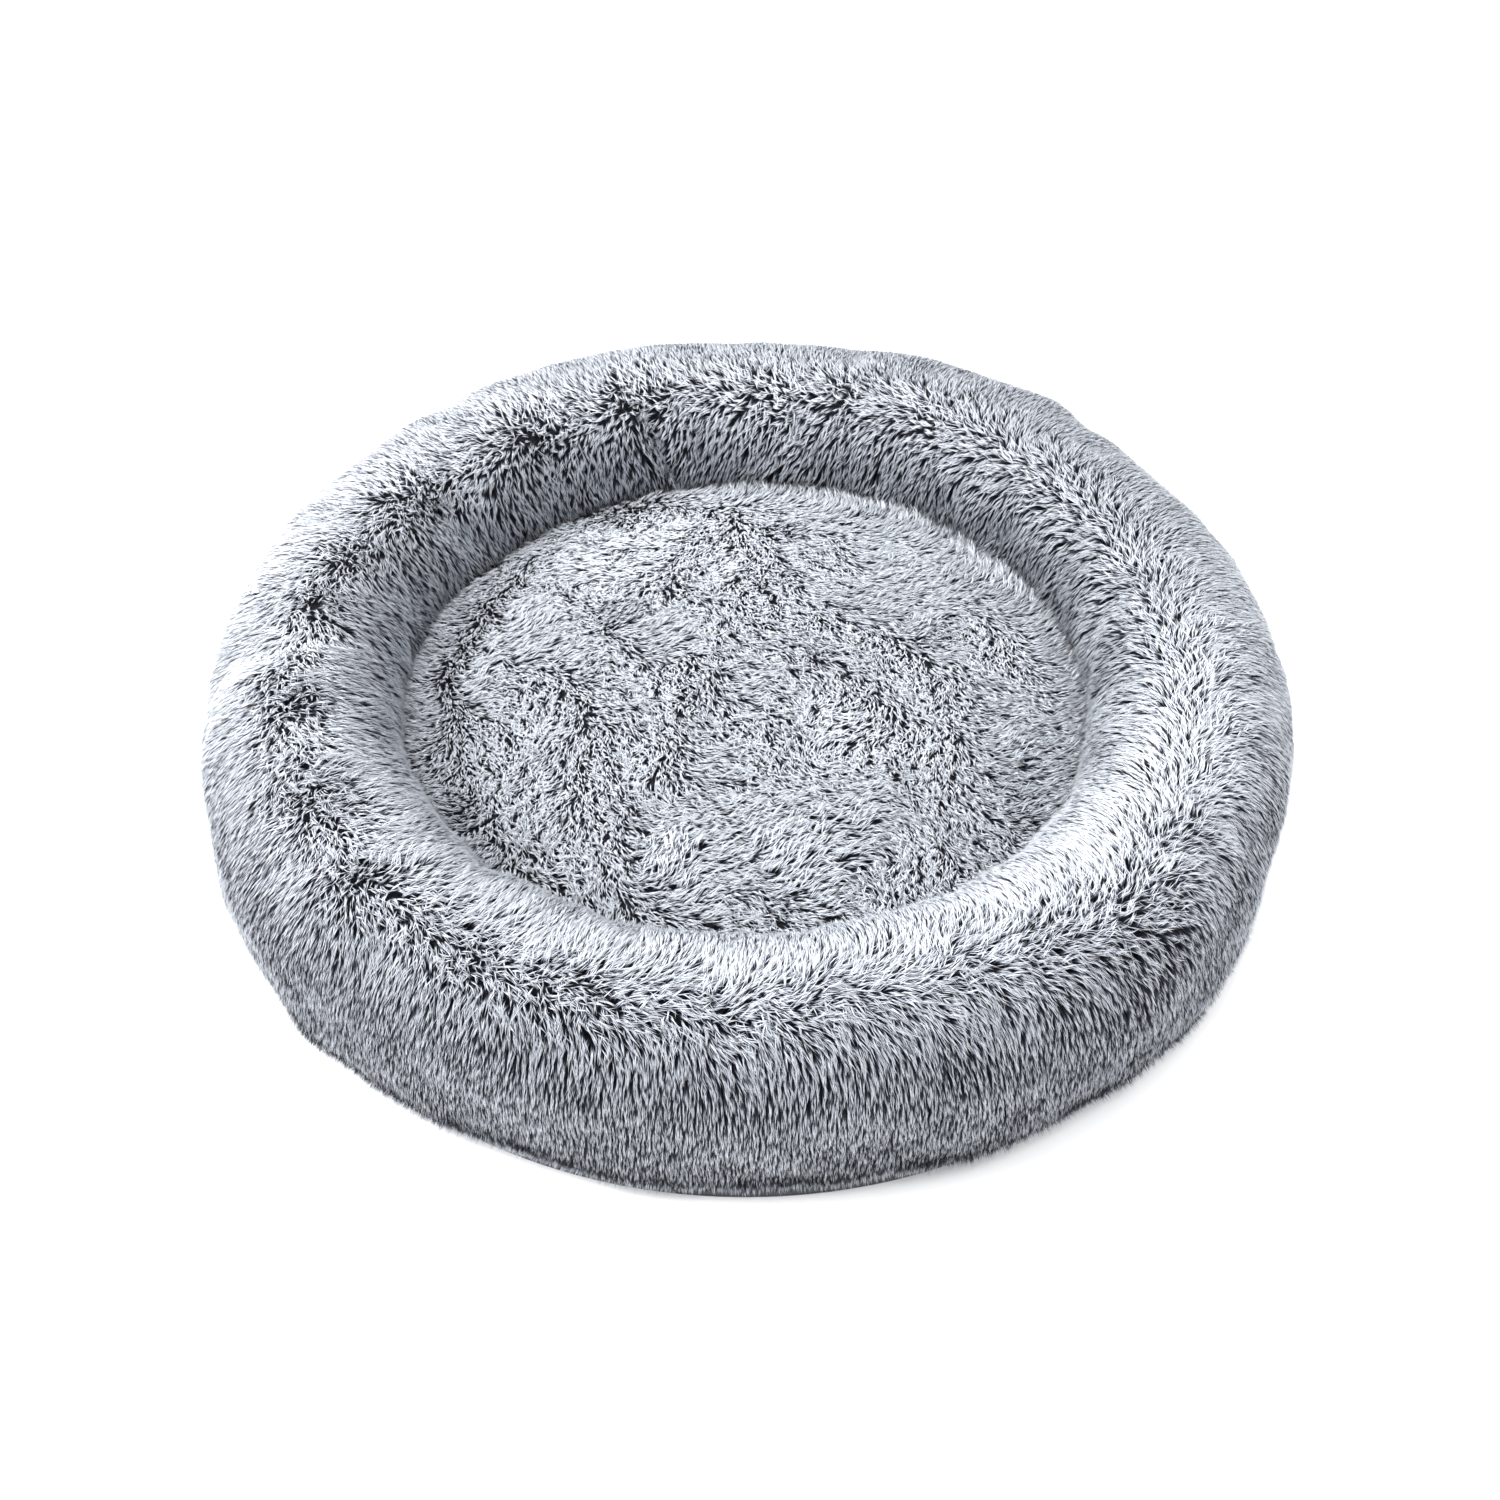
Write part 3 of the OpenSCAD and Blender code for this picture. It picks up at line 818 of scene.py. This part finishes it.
def disc_grid(columns, radii, height):
    """Grid of points over a disc, rows at the radii, and the quads that fill its middle."""
    phi = np.linspace(0, TURN, columns, endpoint=False)[:, None]
    x, y = radii * np.cos(phi), radii * np.sin(phi)
    rows = len(radii)
    hub = hub_faces(np.arange(columns) * rows + rows - 1, True)
    return np.stack(np.broadcast_arrays(x, y, height(x, y)), -1), hub


SEAT_SECTORS = 6
seat_top, seat_hub = disc_grid(120, np.linspace(SEAT_R + 0.8 * FUR_T, 4 * MM, 48), seat_height)
seat_under = seat_top - [0, 0, BACKING_T]
seat_backing = slab_object("seat_fur_backing", seat_top, seat_under, closed=True, hub=seat_hub)
seat_piles = [
    seat_pile_piece(f"seat_fur_pile_{k + 1}", k * TURN / SEAT_SECTORS, TURN / SEAT_SECTORS, 300 + k)
    for k in range(SEAT_SECTORS)]
panel_of("seat_fur", seat_backing, seat_piles, "seat_fur", seat_pile)

# ------------------------ ring insert: lining and filling


def ring_pucker(phi, angles):
    """Gathers where the lining's two skins are sewn together, and its tuck behind the zip, in metres."""
    gap = np.minimum(np.abs(np.sin(angles)), 1)
    pleats = 0.5 + 0.5 * np.sin(118 * phi + 2.4 * ripple(phi, angles, 91, (5, 20), (0, 2)))
    tuck = 2.2 * MM * np.exp(-(((angles + 0.7) / 0.35) ** 2))
    return 0.8 * MM * pleats * np.exp(-((gap / 0.22) ** 2)) + tuck


INSERT_COLUMNS = 240
INSERT_PHI = np.linspace(0, TURN, INSERT_COLUMNS, endpoint=False)[:, None]


def ring_layer(inset, start, rows):
    """Grid of points on half of the ring insert's section."""
    angles = even_angles(inset, start, start + math.pi, rows)[0]
    return ring_tube(inset, angles, INSERT_COLUMNS, ring_pucker(INSERT_PHI, angles))


for node, start in (("ring_liner_upper", 0.0), ("ring_liner_lower", -math.pi)):
    face, back = (ring_layer(LINER_INSET + depth, start, 48) for depth in (0.2 * MM, 1.2 * MM))
    piece = on_bed(slab_object(f"{node}_cloth", face, back, closed=True), "lining", lining, node)


def ring_filling():
    """The ring's loose fibre, a lumpy closed tube."""
    inset = LINER_INSET + LINER_T + 0.2 * MM
    angles = even_angles(inset, -math.pi / 2, 1.5 * math.pi, 97)[0][:-1]
    lumps = 1.1 * MM * (1 + ripple(INSERT_PHI, angles, 92, (20, 60), (4, 14)))
    points = ring_tube(inset, angles, INSERT_COLUMNS, ring_pucker(INSERT_PHI, angles) + lumps)
    faces = grid_faces(INSERT_COLUMNS, len(angles), closed=True, closed_rows=True)
    return mesh_object("ring_filling_fibre", points.reshape(-1, 3), faces)


on_bed(ring_filling(), "fibre", loose_fibre, "ring_filling")

# ------------------------ seat insert: lining and filling


def pad_outline(inset, rows, lumps=0.0):
    """Grid of points round the seat pad, from the middle of its underside, over its side seam, to the
    middle of its top, and the number of rows up to the side seam."""
    phi = INSERT_PHI
    low = PAD_LOW + inset
    side = PAD_R - inset
    bend = 12 * MM
    turn = np.linspace(0, math.pi / 2, 10)
    edge = side - 20 * MM
    r = np.concatenate([
        np.linspace(4 * MM, side - bend, rows), side - bend + bend * np.sin(turn[1:]),
        edge + (side - edge) * np.cos(turn), np.linspace(edge, 4 * MM, rows)[1:]])
    share = np.concatenate([
        np.zeros(rows), (1 - np.cos(turn[1:])) * 0.5, 0.5 + 0.5 * np.sin(turn), np.ones(rows - 1)])
    top = seat_height(r * np.cos(phi), r * np.sin(phi)) - BACKING_T - 0.5 * MM - inset
    under_seam = low + (PAD_SEAM_Z - low) * share * 2
    z = np.where(share < 0.5, under_seam, PAD_SEAM_Z + (top - PAD_SEAM_Z) * (share - 0.5) * 2)
    pleats = 0.5 + 0.5 * np.sin(86 * phi + 2 * ripple(phi, share * 0, 93, (5, 20), (0, 1)))
    dent = 0.9 * MM * pleats * np.exp(-(((share - 0.5) / 0.12) ** 2))
    top_side = smooth_step(0.9, 1.0, share)
    return spun(phi, r - dent - lumps * (1 - top_side) * 0.5, z - lumps * top_side), rows + 9


PAD_ROWS = 34
outer_pad, seam_row = pad_outline(0.1 * MM, PAD_ROWS)
inner_pad, _ = pad_outline(1.1 * MM, PAD_ROWS)
for node, part in (("seat_liner_bottom", slice(0, seam_row)), ("seat_liner_top", slice(seam_row - 1, None))):
    face, back = outer_pad[:, part], inner_pad[:, part]
    rows = face.shape[1]
    lowest = node == "seat_liner_bottom"
    hub = hub_faces(np.arange(INSERT_COLUMNS) * rows + (0 if lowest else rows - 1), not lowest)
    cloth = slab_object(f"{node}_cloth", face, back, closed=True, hub=hub)
    piece = on_bed(cloth, "lining", lining, node)


def seat_filling():
    """The seat pad's loose fibre, a lumpy closed cushion."""
    rows = outer_pad.shape[1]
    lumps = 1.0 * MM * (1 + ripple(INSERT_PHI, np.linspace(0, 1, rows)[None, :], 94, (8, 50), (10, 60)))
    points, _ = pad_outline(1.4 * MM, PAD_ROWS, lumps)
    column = np.arange(INSERT_COLUMNS) * rows
    ends = [hub_faces(column, False), hub_faces(column + rows - 1, True)]
    faces = np.concatenate([grid_faces(INSERT_COLUMNS, rows, closed=True), *ends])
    return mesh_object("seat_filling_fibre", points.reshape(-1, 3), faces)


on_bed(seat_filling(), "fibre", loose_fibre, "seat_filling")

# ------------------------ base, binding and label

DOT_H = 0.4 * MM


def base_height(x, y):
    """Height of the base cloth's upper face, slightly slack between the sewn edge and the pads."""
    return BASE_TOP - 0.12 * MM + 0.1 * MM * field_noise(x, y, 95, 0.12)


base_top, base_hub = disc_grid(180, np.linspace(BASE_R, 4 * MM, 54), base_height)
base_low = base_top * [1, 1, 0] + [0, 0, DOT_H]
base_panel = slab_object("base_panel_cloth", base_top, base_low, closed=True, hub=base_hub)
on_bed(base_panel, "base_fabric", base_cloth, "base_panel")


def grip_dots():
    """Printed grip dots under the base cloth: small domes in staggered rows."""
    pitch = 11 * MM
    rows = np.arange(-42, 43)
    x, y = np.meshgrid(rows * pitch, rows * pitch * math.sqrt(0.75), indexing="ij")
    x = x + np.where(np.arange(len(rows)) % 2, pitch / 2, 0)[None, :]
    x, y = x.ravel(), y.ravel()
    kept = np.hypot(x, y) < BASE_R - 14 * MM
    x, y = x[kept], y[kept]
    sides = 6
    turn = np.arange(sides) / sides * TURN
    levels = [(1.3 * MM, DOT_H + 0.05 * MM), (1.3 * MM, 0.25 * MM), (0.8 * MM, 0.0)]
    rings = [spun(turn, r, z) for r, z in levels]
    one = np.concatenate(rings)
    shape = [[low + t, low + sides + t, low + sides + (t + 1) % sides, low + (t + 1) % sides]
             for low in (0, sides) for t in range(sides)]
    caps = [hub_faces(np.arange(sides), True), hub_faces(np.arange(sides) + 2 * sides, False)]
    shape = np.concatenate([shape, *caps])
    points = one[None] + np.stack([x, y, np.zeros_like(x)], -1)[:, None]
    faces = shape[None] + (np.arange(len(x)) * len(one))[:, None, None]
    return mesh_object("base_grip_dots", points.reshape(-1, 3), faces.reshape(-1, 4))


dots = on_bed(grip_dots(), "base_fabric", grip_rubber, "base_panel")


def band_of(name, section, low, high, columns, closed=False, wobble=0.0):
    """A closed band swept round the Z axis between two azimuths, from the radius and height of its
    section's corners taken anticlockwise."""
    phi = np.linspace(low, high, columns, endpoint=not closed)[:, None]
    section = np.array(section)
    shake = wobble * ripple(phi, np.arange(len(section)), 96, (40, 160), (0, 3))
    points = spun(phi, section[:, 0] + shake, section[:, 1])
    rows = len(section)
    faces = [grid_faces(columns, rows, closed, closed_rows=True)]
    if not closed:
        end = np.arange(rows)
        faces += [hub_faces(end, True), hub_faces(end + (columns - 1) * rows, False)]
    return mesh_object(name, points.reshape(-1, 3), np.concatenate(faces))


def rounded_box(r0, r1, z0, z1, bend):
    """Section with rounded corners, anticlockwise from the lower inside corner's right."""
    left, right, low, high = r0 + bend, r1 - bend, z0 + bend, z1 - bend
    corners = [(right, low, -90), (right, high, 0), (left, high, 90), (left, low, 180)]
    return [(r + bend * math.cos(math.radians(a + t)), z + bend * math.sin(math.radians(a + t)))
            for r, z, a in corners for t in (0, 30, 60, 90)]


binding_section = rounded_box(
    BASE_R - 12 * MM, BASE_R - 0.2 * MM, BASE_TOP + 0.1 * MM, HEM_Z - 0.1 * MM, 1.4 * MM)
binding = band_of("base_seam_binding_cloth", binding_section, 0, TURN, 720, closed=True, wobble=0.12 * MM)
on_bed(binding, "base_fabric", base_binding, "base_seam_binding")


def care_label():
    """Blank satin label, folded over at its outer end."""
    low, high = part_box("care_label")
    middle = (low + high) / 2
    azimuth = math.atan2(middle.y, middle.x)
    start = BASE_R + 0.3 * MM
    across = np.linspace(-15 * MM, 15 * MM, 13)
    out = np.array([0, 4, 8, 11.5, 13.2, 13.2, 11.5, 8, 4, 0]) * MM
    lift = np.array([0.30, 0.36, 0.40, 0.36, 0.22, -0.10, -0.24, -0.28, -0.30, -0.30]) * MM
    sag = 0.25 * MM * np.sin(across * 240)
    shape = len(across), len(out)
    x = start + np.broadcast_to(out, shape)
    z = middle.z + lift[None, :] + sag[:, None] * (out / (13 * MM))[None, :] * 0.4
    grid = np.stack([x, np.broadcast_to(across[:, None], shape), z], -1)
    cos, sin = math.cos(azimuth), math.sin(azimuth)
    outer = grid @ np.array([[cos, sin, 0], [-sin, cos, 0], [0, 0, 1]])
    tangent = np.gradient(outer, axis=1)
    normal = unit(np.cross(np.gradient(outer, axis=0), tangent))
    return slab_object("care_label_cloth", outer, outer - normal * 0.16 * MM)


label = on_bed(care_label(), "label_satin", label_satin, "care_label")

# ------------------------ zip

ZIP_LOW, ZIP_HIGH = math.pi / 2 - ZIP_HALF_ARC, math.pi / 2 + ZIP_HALF_ARC
TAPE_T = 0.8 * MM
WIRE_SIDES = 6


def zip_tape(node):
    """A woven tape with a slightly thicker sewn edge and a corded edge by the coil."""
    low, high = (corner.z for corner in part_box(node))
    r0, r1 = BASE_R, BASE_R + TAPE_T
    section = [
        (r0 + 0.05 * MM, low), (r1 - 0.1 * MM, low), (r1, low + 0.8 * MM), (r1 - 0.12 * MM, low + 1.8 * MM),
        (r1 - 0.12 * MM, high - 1.8 * MM), (r1, high - 0.8 * MM), (r1 - 0.1 * MM, high),
        (r0 + 0.05 * MM, high)]
    piece = band_of(f"{node}_weave", section, ZIP_LOW + 0.0002, ZIP_HIGH - 0.0002, 361)
    return on_bed(piece, "zip_tape", tape_weave, node)


def zip_coil(node, phase):
    """One coil of plastic wire, its turns set along the tape's edge."""
    low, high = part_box(node)
    wire = 0.42 * MM
    reach_r, reach_z = (high.y - BASE_R - TAPE_T) / 2 - wire, (high.z - low.z) / 2 - wire
    centre_r, centre_z = BASE_R + TAPE_T + reach_r + wire, (low.z + high.z) / 2
    margin = math.acos(low.y / (BASE_R + 3 * MM))
    start, end = math.pi / 2 - margin, math.pi / 2 + margin
    turns = int(BASE_R * (end - start) / (1.6 * MM))
    steps = 8
    t = np.arange(turns * steps + 1) / steps
    angle = TURN * (t + phase)
    phi = start + (end - start) * t / turns
    centre = spun(phi, centre_r + reach_r * np.cos(angle), centre_z + reach_z * np.sin(angle))
    tangent = unit(np.gradient(centre, axis=0))
    radial = spun(phi, 1.0, 0.0)
    side = unit(np.cross(tangent, radial + 0.01))
    rise = np.cross(side, tangent)
    around = np.arange(WIRE_SIDES) / WIRE_SIDES * TURN
    cos, sin = np.cos(around)[None, :, None], np.sin(around)[None, :, None]
    tube = centre[:, None] + wire * (cos * rise[:, None] + sin * side[:, None])
    columns = len(t)
    end = np.arange(WIRE_SIDES)
    ends = [hub_faces(end, True), hub_faces(end + (columns - 1) * WIRE_SIDES, False)]
    faces = np.concatenate([grid_faces(columns, WIRE_SIDES, closed_rows=True), *ends])
    return on_bed(mesh_object(f"{node}_wire", tube.reshape(-1, 3), faces), "zip_coil", coil_plastic, node)


zip_tape("zip_tape_upper")
zip_tape("zip_tape_lower")
zip_coil("zip_coil_upper", 0.0)
zip_coil("zip_coil_lower", 0.5)
for node in ("zip_end_stops", "zip_slider", "zip_pull"):
    dress(bpy.data.objects[node], plated_metal)

# ------------------------ floor, light and camera

CAMERA_TILT = 46.3
CAMERA_FAR = 1.476
LENS = 39.6


def studio():
    """Pale floor, soft light, and the camera."""
    scene = bpy.context.scene
    floor = mesh_object("floor", [(-30, -30, 0), (30, -30, 0), (30, 30, 0), (-30, 30, 0)], [(0, 1, 2, 3)])
    mat, nodes, links, shader = new_material("floor_paper")
    noise = add_node(nodes, "ShaderNodeTexNoise", Scale=3)
    tones = [(0.3, (0.83, 0.83, 0.835)), (0.7, (0.85, 0.85, 0.85))]
    colour_by(nodes, links, shader, noise.outputs["Fac"], tones)
    shader.inputs["Roughness"].default_value = 0.8
    floor.data.materials.append(mat)
    world = bpy.data.worlds.new("studio")
    world.use_nodes = True
    sky = world.node_tree.nodes["Background"].inputs
    sky["Color"].default_value = (0.97, 0.98, 1, 1)
    sky["Strength"].default_value = 1.08
    scene.world = world
    for name, place, size, power in (
            ("overhead", (-0.15, 0.35, 2.6), 3.0, 95), ("left_window", (-2.3, -0.2, 1.5), 1.6, 136),
            ("right_window", (2.3, -0.4, 1.5), 1.6, 34)):
        lamp = bpy.data.lights.new(name, "AREA")
        lamp.size = size
        lamp.energy = power
        held = bpy.data.objects.new(name, lamp)
        held.location = place
        held.rotation_mode = "QUATERNION"
        held.rotation_quaternion = Vector(place).to_track_quat("Z", "Y")
        scene.collection.objects.link(held)
    tilt = math.radians(CAMERA_TILT)
    lens = bpy.data.cameras.new("camera")
    lens.lens = LENS
    lens.sensor_width = 36
    camera = bpy.data.objects.new("camera", lens)
    back = Vector((0, -math.cos(tilt), math.sin(tilt)))
    up = Vector((0, math.sin(tilt), math.cos(tilt)))
    camera.location = back * CAMERA_FAR + Vector((0.0033, 0, 0)) + up * 0.0065
    camera.rotation_mode = "QUATERNION"
    camera.rotation_quaternion = back.to_track_quat("Z", "Y")
    scene.collection.objects.link(camera)
    scene.camera = camera
    scene.view_settings.view_transform = "Standard"


studio()
